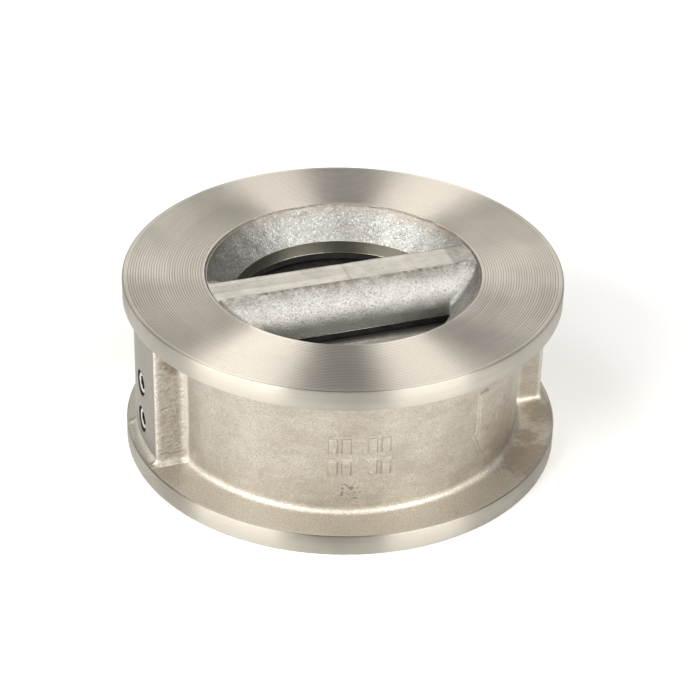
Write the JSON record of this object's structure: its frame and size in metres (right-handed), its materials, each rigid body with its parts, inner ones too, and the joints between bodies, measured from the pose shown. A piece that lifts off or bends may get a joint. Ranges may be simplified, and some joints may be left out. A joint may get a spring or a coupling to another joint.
{
  "type": "wafer check valve",
  "caption": "Dual-plate wafer check valve: a flanged ring casting with a web across the inlet and two half-round plates that springs hold shut.",
  "frame": {"origin": "centre of the outlet gasket face, which the valve stands on", "axes": "+Z along the bore towards the inlet, so flow runs along -Z; +X along the web, the hinge pin and the stop pin; the front plate is on the -Y side"},
  "size_m": [0.134, 0.134, 0.057],
  "materials": {
    "cast_stainless": "blasted casting with turned gasket faces, rims and web top",
    "seat_rubber": "matt moulded rubber",
    "plate_steel": "ground on the seat side, blasted on the back",
    "pin_steel": "ground",
    "spring_steel": "drawn wire",
    "bearing_ptfe": "turned PTFE",
    "plug_steel": "turned",
    "gasket_ptfe": "pressed PTFE"
  },
  "bodies": {
    "valve_body": {"body": "cast_stainless", "seat_seal": "seat_rubber", "hinge_pin": "pin_steel", "stop_pin": "pin_steel", "torsion_spring_left": "spring_steel", "torsion_spring_right": "spring_steel", "spring_sleeve_left": "bearing_ptfe", "spring_sleeve_right": "bearing_ptfe", "spring_washers_left": "bearing_ptfe", "spring_washers_right": "bearing_ptfe", "plate_lug_washer": "bearing_ptfe", "body_lug_bearing_left": "bearing_ptfe", "body_lug_bearing_right": "bearing_ptfe", "hinge_plug_left": "plug_steel", "hinge_plug_right": "plug_steel", "stop_plug_left": "plug_steel", "stop_plug_right": "plug_steel", "hinge_gasket_left": "gasket_ptfe", "hinge_gasket_right": "gasket_ptfe", "stop_gasket_left": "gasket_ptfe", "stop_gasket_right": "gasket_ptfe"},
    "front_plate": {"plate_front": "plate_steel"},
    "rear_plate": {"plate_rear": "plate_steel"}
  },
  "joints": [
    {"name": "front_plate_hinge", "type": "hinge", "parent": "valve_body", "child": "front_plate", "pos_m": [0, 0, 0.0285], "axis": [1, 0, 0], "range_deg": [0, 82], "stiffness_Nm_per_rad": 0.06, "springref_deg": -57.3, "deforming": ["torsion_spring_left", "torsion_spring_right"]},
    {"name": "rear_plate_hinge", "type": "hinge", "parent": "valve_body", "child": "rear_plate", "pos_m": [0, 0, 0.0285], "axis": [-1, 0, 0], "range_deg": [0, 82], "stiffness_Nm_per_rad": 0.06, "springref_deg": -57.3, "deforming": ["torsion_spring_left", "torsion_spring_right"]}
  ]
}
